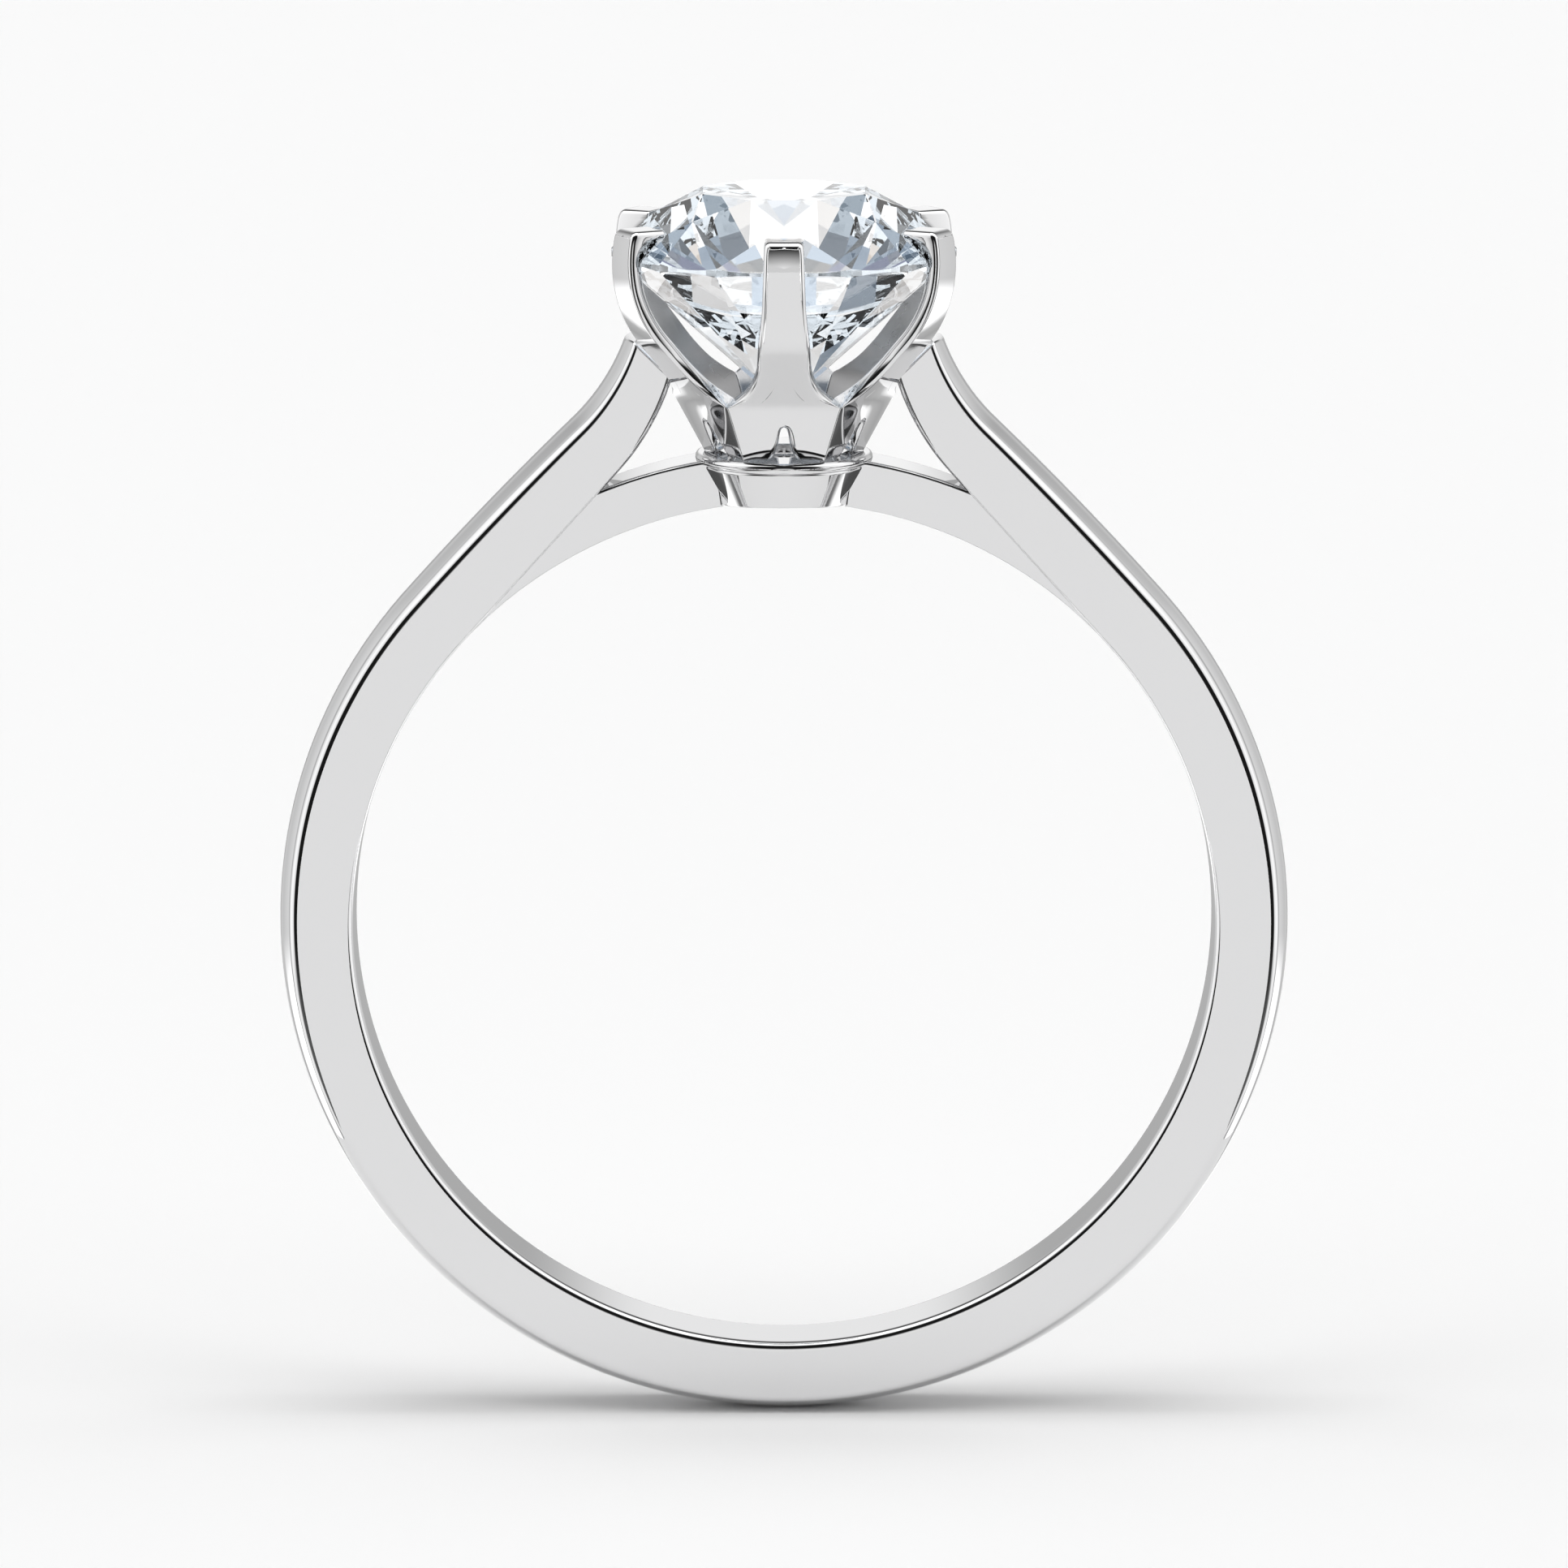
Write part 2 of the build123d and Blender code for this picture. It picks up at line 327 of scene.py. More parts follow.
band = {
    "width": 1.40,
    "sideHeight": 1.14,
    "domeHeight": 0.29,
    "comfort": 0.15,
    "edge": 0.19,
    "runRadius": 60.0,
    "riseRadius": 5.5,
    "landingSlope": 60.5,
    "landingGap": 0.14,
    "landingDrop": 0.24,
    "overrun": 1.6,
    "taper": 0.27,  # how much thinner the shoulder is at the head, taken from its underside
    "taperLength": 5.4,
    "taperPast": 1.3,  # the taper goes on this far, as a share of its length
    "sink": 0.05,  # how deep the shoulder's end stands in the cup's wall
    "stations": 520,
    "tailStart": 0.3,  # before its ends, the section's rows start to follow the cup
    "tailStations": 13,
    "halvings": 40,
    "comfortSteps": 9,
    "edgeSteps": 7,
    "domeSteps": 15,
    "hold": 0.02,  # how close the held points stand beside a rounding
}


def bandSection():
    # height above the finger hole and place across it, round the closed section
    half = band["width"] / 2
    comfort, edge = band["comfort"], band["edge"]
    top = band["sideHeight"] + band["domeHeight"]
    dome = (half**2 + band["domeHeight"] ** 2) / (2 * band["domeHeight"])
    domeCentre = top - dome
    edgeHeight = domeCentre + math.sqrt((dome - edge) ** 2 - (half - edge) ** 2)
    lean = math.atan2(edgeHeight - domeCentre, half - edge)
    hold = band["hold"]
    flat = half - comfort
    inner = np.array([(0, 0), (0, flat * 0.5), (0, flat - hold)])
    turn = np.linspace(0, math.pi / 2, band["comfortSteps"])
    comfortArc = np.stack([comfort - comfort * np.cos(turn), flat + comfort * np.sin(turn)], 1)
    side = np.array([(comfort + hold, half), (edgeHeight * 0.5, half), (edgeHeight - hold, half)])
    turn = np.linspace(0, lean, band["edgeSteps"])
    edgeArc = np.stack([edgeHeight + edge * np.sin(turn), half - edge + edge * np.cos(turn)], 1)
    turn = np.linspace(lean, math.pi / 2, band["domeSteps"])[1:]
    domeArc = np.stack([domeCentre + dome * np.sin(turn), dome * np.cos(turn)], 1)
    right = np.vstack([inner, comfortArc, side, edgeArc, domeArc])
    left = right[1:-1][::-1] * (1, -1)
    return np.vstack([right, left])


def bandArcs():
    # centre, radius, first angle, turn and side of each arc of the inner line, each tangent to the last
    slope = math.radians(band["landingSlope"])
    landing = np.array([cuspRadius + band["landingGap"], cuspZ - band["landingDrop"]])
    rise = landing + band["riseRadius"] * np.array([math.sin(slope), math.cos(slope)])
    toHoop = band["runRadius"] - boreRadius
    toRise = band["runRadius"] + band["riseRadius"]
    span = np.hypot(*rise)
    cosine = (toHoop**2 + span**2 - toRise**2) / (2 * toHoop * span)
    bearing = math.atan2(rise[1], rise[0]) + math.acos(cosine)
    run = toHoop * np.array([math.cos(bearing), math.sin(bearing)])
    leave = math.atan2(-run[1], -run[0])
    join = math.atan2(*(rise - run)[::-1])
    land = math.radians(270) - slope - band["overrun"] / band["riseRadius"]
    return [
        (np.zeros(2), boreRadius, -math.pi / 2, leave + math.pi / 2, 1),
        (run, band["runRadius"], leave, join - leave, 1),
        (rise, band["riseRadius"], join + math.pi, land - join - math.pi, -1),
    ]


def onBand(along, height, arcs):
    # the point at a distance along the inner line from the bottom, and a height off it
    distance = np.abs(along)
    x = np.zeros(np.broadcast(along, height).shape)
    z = np.zeros_like(x)
    start = 0.0
    for centre, radius, first, turn, side in arcs:
        length = radius * abs(turn)
        share = (distance - start) / length
        angle = first + turn * share
        here = np.broadcast_to(share >= 0, x.shape)
        reach = radius + side * height
        x = np.where(here, centre[0] + reach * np.cos(angle), x)
        z = np.where(here, centre[1] + reach * np.sin(angle), z)
        start += length
    return np.where(along < 0, -x, x), z


def makeShank():
    # the section carried along the line; each line of it ends where it meets the head
    section = bandSection()
    height, across = section[:, 0][None, :], section[:, 1][None, :]
    arcs = bandArcs()
    total = sum(radius * abs(turn) for _, radius, _, turn, _ in arcs)
    full = band["sideHeight"] + band["domeHeight"]

    def place(along):
        # the underside rises towards the head, and the heights above it close up
        start = total - band["overrun"] - band["taperLength"]
        share = np.clip((np.abs(along) - start) / band["taperLength"], 0, band["taperPast"])
        lift = band["taper"] * share**2 * (1 - height / full)
        return onBand(along, height + lift, arcs)

    # halves the stretch that holds each line's end until the end is found
    near = np.full(height.shape, total - arcs[2][1] * abs(arcs[2][3]))
    beyond = np.full(height.shape, total)
    for _ in range(band["halvings"]):
        middle = (near + beyond) / 2
        x, z = place(middle)
        outside = outsideHead(x, across, z) > -band["sink"]
        near = np.where(outside, middle, near)
        beyond = np.where(outside, beyond, middle)
    straight = near.min() - band["tailStart"]
    share = np.linspace(-1, 1, band["stations"])[:, None]
    body = share * straight
    tail = straight + (near - straight) * np.linspace(0, 1, band["tailStations"])[1:, None]
    along = np.vstack([-tail[::-1], np.broadcast_to(body, (len(share), height.size)), tail])
    x, z = place(along)
    y = np.broadcast_to(across, x.shape)
    points = np.stack([x, y, z], axis=-1)
    rows, columns = x.shape
    flat = points.reshape(-1, 3)
    ends = np.stack([points[0].mean(axis=0), points[-1].mean(axis=0)])
    count = len(flat)
    ring = np.arange(columns)
    firstCap = np.stack([np.full(columns, count), np.roll(ring, -1), ring], axis=-1)
    lastRing = ring + (rows - 1) * columns
    lastCap = np.stack([np.full(columns, count + 1), lastRing, np.roll(lastRing, -1)], axis=-1)
    faces = [gridQuads(rows, columns, wrapColumns=True), firstCap, lastCap]
    piece = addPiece("shankSurface", np.vstack([flat, ends]), faces, bandMetal)
    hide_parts("shank")
    return piece


makeShank()
print("band made")


bridge = {
    "width": 1.22,
    "height": 0.93,
    "bevel": 0.07,
    "lowBevel": 0.05,
    "start": 44.0,  # degrees above the horizontal, inside the shoulder
    "endX": 1.15,  # inside the collet
    "lift": 0.003,
    "stations": 120,
}


def makeBridge(name, side):
    # a rounded bar on an arc about the finger hole's centre
    half = bridge["width"] / 2
    low, high = bridge["lift"], bridge["height"]
    outline = [(low, -half), (high, -half), (high, half), (low, half)]
    bevel = bridge["bevel"]
    section = roundedLoop(outline, [bridge["lowBevel"], bevel, bevel, bridge["lowBevel"]])
    end = math.acos(bridge["endX"] / boreRadius)
    angle = np.linspace(math.radians(bridge["start"]), end, bridge["stations"])[:, None]
    reach = boreRadius + section[:, 0][None, :]
    x = side * reach * np.cos(angle)
    z = reach * np.sin(angle)
    y = np.broadcast_to(section[:, 1][None, :], x.shape)
    points = np.stack([x, y, z], axis=-1).reshape(-1, 3)
    rows, columns = x.shape
    ring = np.arange(columns)
    caps = [ring[None, ::-1], (ring + (rows - 1) * columns)[None, :]]
    faces = [gridQuads(rows, columns, wrapColumns=True)] + caps
    piece = addPiece(name + "Surface", points, faces, bandMetal)
    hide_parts(name)
    return piece


makeBridge("bridge_right", 1)
makeBridge("bridge_left", -1)
print("bridge made")


collet = {
    "footRadius": 1.21,
    "topRadius": 1.61,
    "holeRadius": 0.80,
    "edge": 0.03,
    "edgeSteps": 5,
    "segments": 240,
}
wire = {"rounding": 0.09, "innerRounding": 0.02, "edgeSteps": 9}


def turned(name, profile, material, foot=None):
    # a closed profile (radius, height) turned about the ring's upright axis; foot fits its lower
    # end to the finger hole by stretching each height between the top and the hole's wall
    angle = np.linspace(0, 2 * math.pi, collet["segments"], endpoint=False)[:, None]
    radius, height = profile[:, 0][None, :], profile[:, 1][None, :]
    x = radius * np.sin(angle)
    y = -radius * np.cos(angle)
    z = np.broadcast_to(height, x.shape)
    if foot is not None:
        top = profile[:, 1].max()
        wall = np.sqrt(foot**2 - x**2)
        z = top - (top - z) * (top - wall) / (top - foot)
    points = np.stack([x, y, z], axis=-1).reshape(-1, 3)
    faces = [gridQuads(len(angle), radius.size, True, True)]
    piece = addPiece(name + "Surface", points, faces, material)
    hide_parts(name)
    return piece


colletCorners = [
    (collet["holeRadius"], boreRadius),
    (collet["footRadius"], boreRadius),
    (collet["topRadius"], wireLow[2]),
    (collet["holeRadius"], wireLow[2]),
]
colletProfile = roundedLoop(colletCorners, [collet["edge"]] * 4, collet["edgeSteps"])
turned("collet", colletProfile, headMetal, boreRadius)
wireCorners = [
    (collet["holeRadius"], wireLow[2]),
    (wireHigh[0], wireLow[2]),
    (wireHigh[0], wireHigh[2]),
    (collet["holeRadius"], wireHigh[2]),
]
wireRounds = [wire[key] for key in ("innerRounding", "rounding", "rounding", "innerRounding")]
turned("bearing_wire", roundedLoop(wireCorners, wireRounds, wire["edgeSteps"]), headMetal)
print("collet made")


def around(radius, degrees, z):
    # a point on the stone at a bearing from the front
    turn = np.radians(np.asarray(degrees, float))
    z = np.broadcast_to(np.asarray(z, float), turn.shape)
    return np.stack([radius * np.sin(turn), -radius * np.cos(turn), z], axis=-1)


def planeHeights(a, b, c, x, y):
    # the height at x, y of the plane through three points
    normal = np.cross(b - a, c - a)
    return a[2] - (normal[0] * (x - a[0]) + normal[1] * (y - a[1])) / normal[2]


eighth = 45.0
sixteenth = eighth / 2
crownSlope = stone["crownHeight"] / (stoneRadius - stone["tableRadius"])
tableEdge = stone["tableRadius"] * math.cos(math.radians(sixteenth))
starTip = tableEdge + stone["starLength"] * (stoneRadius - tableEdge)
starZ = tableZ - crownSlope * (starTip * math.cos(math.radians(sixteenth)) - stone["tableRadius"])
pavilionSlope = (girdleLowZ - culetZ) / stoneRadius
halfTip = (1 - stone["lowerHalf"]) * stoneRadius
halfZ = culetZ + pavilionSlope * halfTip * math.cos(math.radians(sixteenth))


def crownSurface(x, y):
    # height of the crown above a place: the lowest of the table, kites, stars and upper halves
    height = np.full(np.shape(x), tableZ)
    for k in range(8):
        edge = k * eighth
        corner = around(stone["tableRadius"], edge + sixteenth, tableZ)
        lastCorner = around(stone["tableRadius"], edge - sixteenth, tableZ)
        tip = around(starTip, edge, starZ)
        nextTip = around(starTip, edge + eighth, starZ)
        foot = around(stoneRadius, edge + sixteenth, girdleTopZ)
        lastFoot = around(stoneRadius, edge - sixteenth, girdleTopZ)
        touch = around(stoneRadius, edge, girdleTopZ)
        for trio in ((corner, tip, nextTip), (lastCorner, corner, tip), (tip, foot, touch),
                     (tip, lastFoot, touch)):
            height = np.minimum(height, planeHeights(*trio, x, y))
    return height


def makeStone(material):
    # flat facets between rings of corners; the girdle is round, and each half facet cuts it in a
    # shallow scallop
    cuts = stone["girdleCuts"]
    bearings = np.arange(16 * cuts) * sixteenth / cuts
    rim = around(stoneRadius, bearings, girdleTopZ)
    topRim, lowRim = rim.copy(), around(stoneRadius, bearings, girdleLowZ)
    for k in range(16):
        edge = (k + 1) // 2 * eighth
        spread = np.arange(k * cuts, (k + 1) * cuts)
        ends = rim[k * cuts], rim[(k + 1) * cuts % (16 * cuts)]
        tip = around(starTip, edge, starZ)
        topRim[spread, 2] = planeHeights(tip, *ends, rim[spread, 0], rim[spread, 1])
        lowEnds = [end * (1, 1, 0) + (0, 0, girdleLowZ) for end in ends]
        tip = around(halfTip, edge, halfZ)
        lowRim[spread, 2] = planeHeights(tip, *lowEnds, rim[spread, 0], rim[spread, 1])
    kites = np.arange(8) * eighth + sixteenth
    edges = np.arange(8) * eighth
    blocks = [
        around(stone["tableRadius"], kites, tableZ),
        around(starTip, edges, starZ),
        topRim,
        lowRim,
        around(halfTip, edges, halfZ),
        np.array([[0, 0, culetZ]]),
    ]
    table, star, top, low, half, culet = np.cumsum([0] + [len(block) for block in blocks])[:-1]
    count = 16 * cuts
    k = np.arange(8)
    after = (k + 1) % 8
    kiteFoot = (2 * k + 1) * cuts
    faces = [table + k[None, :]]
    faces.append(np.stack([star + after, table + after, table + k], axis=-1))
    faces.append(np.stack([table + k, star + k, top + kiteFoot, star + after], axis=-1))
    faces.append(np.stack([low + kiteFoot, half + k, np.full(8, culet), half + after], axis=-1))
    for j in range(16):
        eighthIndex = (j + 1) // 2 % 8
        run = np.arange(j * cuts, (j + 1) * cuts + 1) % count
        faces.append(np.concatenate([[star + eighthIndex], top + run])[None, :])
        faces.append(np.concatenate([[half + eighthIndex], low + run[::-1]])[None, :])
    ring = np.arange(count)
    faces.append(ringQuads(low + ring, top + ring))
    piece = addPiece("stoneFacets", np.vstack(blocks), faces, material, smooth=False)
    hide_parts("stone")
    return piece


stoneFinish = {
    "index": 2.417,
    "girdleRoughness": 0.12,
    "girdleEdge": 0.03,  # how far inside the girdle's edges the ground band starts
    "grainScale": 6000.0,
    "grain": (0.8, 1.2),
}


def makeDiamond():
    # clear glass of a diamond's index: polished facets, and a ground band round the girdle
    material, tree, shader, place = newMaterial("diamond")
    shader.inputs["Base Color"].default_value = (1, 1, 1, 1)
    shader.inputs["IOR"].default_value = stoneFinish["index"]
    shader.inputs["Transmission Weight"].default_value = 1
    split = tree.nodes.new("ShaderNodeSeparateXYZ")
    tree.links.new(place.outputs["Object"], split.inputs[0])
    low = (girdleLowZ + stoneFinish["girdleEdge"]) * mm
    high = (girdleTopZ - stoneFinish["girdleEdge"]) * mm
    soft = stoneFinish["girdleEdge"] / 3 * mm
    inBand = mathNode(tree, "MULTIPLY", stepNode(tree, split.outputs["Z"], low - soft, low),
                      stepNode(tree, split.outputs["Z"], high + soft, high))
    grain = ranged(tree, noiseAt(tree, place, stoneFinish["grainScale"], 2),
                   *stoneFinish["grain"])
    roughness = mathNode(tree, "MULTIPLY", inBand, stoneFinish["girdleRoughness"])
    roughness = mathNode(tree, "MULTIPLY", roughness, grain)
    tree.links.new(roughness, shader.inputs["Roughness"])
    return material


makeStone(makeDiamond())
print("stone made")


claw = {
    "rootWidth": 1.00,
    "waistWidth": 0.80,
    "tipWidth": 0.73,
    "rootHeight": 0.90,
    "waistHeight": 2.20,
    "scoopRadius": 1.00,
    "tipReach": 0.66,
    "tipHeight": 0.55,
    "topRound": 0.12,
    "sideRound": 0.085,
    "innerRound": 0.03,
    "mitreRound": 0.010,
    "seam": 0.004,
    "cornerRound": 0.11,
    "archHeight": 0.67,
    "archFoot": 0.60,
    "archNeck": 0.20,
    "archNeckHeight": 0.42,
    "archRound": 0.09,
    "archCrownBend": (0.16, 0.0),  # how far and which way the arch's line leaves each point
    "archNeckBend": (0.05, -0.40),
    "archFootBend": (0.42, -0.14),
    "footColumns": 12,  # of the columns in each half, those beside the arch
    "rootSlope": -0.04,  # the blade's change of width where its side leaves the scoop
    "waistSlope": 0.9,  # and at its waist, as a share of the taper above
    "wallChange": (-0.2, 0.4),  # heights from the cusp between which the wall thins
    "roundChange": 0.25,  # height above the cusp at which the sides are fully rounded
    "leanChange": 1.0,  # and at which the sides stand square to the face
    "archSpan": (0.9, 0.5),  # how far across the foot's edge goes from sharp to rounded
    "girdleGap": 0.02,
    "crownGap": 0.01,
    "insideShares": (0, 0.25, 0.72, 1.0),  # of the way from seat to top, at the inside's corners
    "crownSlope": 0.84,  # of the tip's underside, over the stone's crown
    "lift": 0.004,  # least gap between a tip and the stone
    "columns": 64,
    "rows": 150,
    "borderSteps": 600,
    "cornerSteps": 12,
    "outerSteps": 7,
    "innerSteps": 5,
}
tipZ = girdleTopZ + claw["tipHeight"]


def hermite(share, startValue, endValue, startSlope, endSlope):
    # the cubic with given values and slopes at 0 and 1
    cube, square = share**3, share**2
    return (
        (2 * cube - 3 * square + 1) * startValue
        + (cube - 2 * square + share) * startSlope
        + (-2 * cube + 3 * square) * endValue
        + (cube - square) * endSlope
    )


def bladeHalf(z):
    # half width of the blade: a quarter circle scooped out above the cup, then a slow taper
    scoopZ = cuspZ + claw["rootHeight"]
    root, waist, tip = (claw[key] / 2 for key in ("rootWidth", "waistWidth", "tipWidth"))
    drop = np.clip((scoopZ - z) / claw["scoopRadius"], 0, 0.9999)
    scoop = root + claw["scoopRadius"] * (1 - np.sqrt(1 - drop**2))
    waistZ = cuspZ + claw["waistHeight"]
    lower = np.clip((z - scoopZ) / (waistZ - scoopZ), 0, 1)
    upper = np.clip((z - waistZ) / (tipZ - waistZ), 0, 1)
    taper = tip - waist
    blade = np.where(
        z < waistZ,
        hermite(lower, root, waist, claw["rootSlope"], taper * claw["waistSlope"]),
        waist + taper * upper,
    )
    return np.where(z < scoopZ, scoop, blade)


def resample(points, count):
    # points spaced evenly by distance along a line of points
    step = np.hypot(*np.diff(points, axis=0).T)
    travelled = np.concatenate([[0], np.cumsum(step)])
    wanted = np.linspace(0, travelled[-1], count)
    return np.stack([np.interp(wanted, travelled, points[:, k]) for k in (0, 1)], axis=-1)


def clawBorder():
    # the border of a claw laid flat (across, height): foot with its arch, sides and rounded top
    fine, turns = claw["borderSteps"], claw["cornerSteps"]
    corner = claw["cornerRound"]
    z = np.linspace(footZ, tipZ - corner, fine)
    half = np.minimum(mitreHalf(outerRadius(z)) - claw["seam"], bladeHalf(z))
    tip = half[-1]
    turn = np.linspace(0, math.pi / 4, turns)
    lowArc = np.stack([tip - corner + corner * np.cos(turn), z[-1] + corner * np.sin(turn)], 1)
    side = np.vstack([np.stack([half, z], 1), lowArc[1:]])
    turn = np.linspace(math.pi / 4, math.pi / 2, turns)
    highArc = np.stack([tip - corner + corner * np.cos(turn), z[-1] + corner * np.sin(turn)], 1)
    top = np.vstack([highArc, highArc[::-1] * (-1, 1)])
    share = np.linspace(0, 1, fine)[:, None]
    neck = np.array([claw["archNeck"] / 2, footZ + claw["archNeckHeight"]])
    crown = np.array([0, footZ + claw["archHeight"]])
    foot = np.array([claw["archFoot"] / 2, footZ])
    crownBend, neckBend, footBend = (
        np.array(claw[key]) for key in ("archCrownBend", "archNeckBend", "archFootBend")
    )
    archUpper = hermite(share, crown, neck, crownBend, neckBend)
    archLower = hermite(share, neck, foot, neckBend, footBend)
    arch = np.vstack([archUpper, archLower[1:]])
    footLine = np.array([foot, (half[0], footZ)])
    rightFoot = resample(footLine, claw["footColumns"] + 1)
    rightArch = resample(arch, claw["columns"] // 2 - claw["footColumns"] + 1)
    right = np.vstack([rightArch, rightFoot[1:]])
    bottom = np.vstack([right[:0:-1] * (-1, 1), right])
    rightSide = resample(side, claw["rows"] + 1)
    topLine = resample(top, len(bottom))
    return bottom, rightSide, topLine[::-1], rightSide * (-1, 1)


def insetBorder(border, distances):
    # moves each border point inwards, square to the border, by its own distance
    bottom, right, top, left = border
    loop = np.vstack([bottom[:-1], right[:-1], top[::-1][:-1], left[::-1][:-1]])
    tangent = np.roll(loop, -1, axis=0) - np.roll(loop, 1, axis=0)
    tangent /= np.hypot(*tangent.T)[:, None]
    inward = np.stack([-tangent[:, 1], tangent[:, 0]], axis=-1)
    return loop + inward * distances[:, None]


def splitLoop(loop, columns, rows):
    # the four sides of a loop again, each with both of its corners
    closed = np.vstack([loop, loop[:1]])
    bottom = closed[: columns + 1]
    right = closed[columns : columns + rows + 1]
    top = closed[columns + rows : 2 * columns + rows + 1][::-1]
    left = closed[2 * columns + rows :][::-1]
    return bottom, right, top, left


def fillPatch(bottom, right, top, left):
    # a Coons patch: the two ruled surfaces between opposite sides, added, less the corner surface
    u = np.linspace(0, 1, len(bottom))[None, :, None]
    v = np.linspace(0, 1, len(right))[:, None, None]
    ruledUp = (1 - v) * bottom[None] + v * top[None]
    ruledAcross = (1 - u) * left[:, None] + u * right[:, None]
    corners = (1 - v) * ((1 - u) * bottom[0] + u * bottom[-1]) + v * (
        (1 - u) * top[0] + u * top[-1]
    )
    return ruledUp + ruledAcross - corners


def innerLine(z):
    # a claw's inside: the outside moved in by the wall, then over the girdle, up the crown and up
    # the end of the tip
    start, end = (cuspZ + change for change in claw["wallChange"])
    wall = head["cupWall"] + (head["clawWall"] - head["cupWall"]) * smoothStep(start, end, z)
    normalR, normalZ = outerNormal(np.minimum(z, girdleLowZ))
    level = np.minimum(z, girdleLowZ)
    radius = outerRadius(level) - wall * normalR
    height = level - wall * normalZ
    seat = girdleLowZ
    seatRadius = stoneRadius + head["clawClearance"]
    tipInside = outerRadius(np.array(tipZ)) - claw["tipReach"]
    crownZ = girdleTopZ + (stoneRadius - tipInside) * claw["crownSlope"]
    route = np.array([
        (seatRadius, height[z <= seat].max() if np.any(z <= seat) else seat),
        (stoneRadius, girdleTopZ + claw["girdleGap"]),
        (tipInside, crownZ + claw["crownGap"]),
        (tipInside, tipZ),
    ])
    share = np.clip((z - seat) / (tipZ - seat), 0, 1)
    routeR = np.interp(share, claw["insideShares"], route[:, 0])
    routeZ = np.interp(share, claw["insideShares"], route[:, 1])
    return np.where(z <= seat, radius, routeR), np.where(z <= seat, height, routeZ)


def onClaw(flat, depth):
    # from the flat layout (across, height) and a share of the thickness to a place on the claw
    across, z = flat[..., 0], flat[..., 1]
    radius = outerRadius(z)
    shape = z.shape
    innerR, innerZ = innerLine(z.ravel())
    innerR, innerZ = innerR.reshape(shape), innerZ.reshape(shape)
    lean = 1 - smoothStep(cuspZ, cuspZ + claw["leanChange"], z)
    innerAcross = across * (1 + (innerR / radius - 1) * lean)
    x = panelX(radius, across) * (1 - depth) + panelX(innerR, innerAcross) * depth
    y = across * (1 - depth) + innerAcross * depth
    height = z * (1 - depth) + innerZ * depth
    return np.stack([x, y, height], axis=-1)


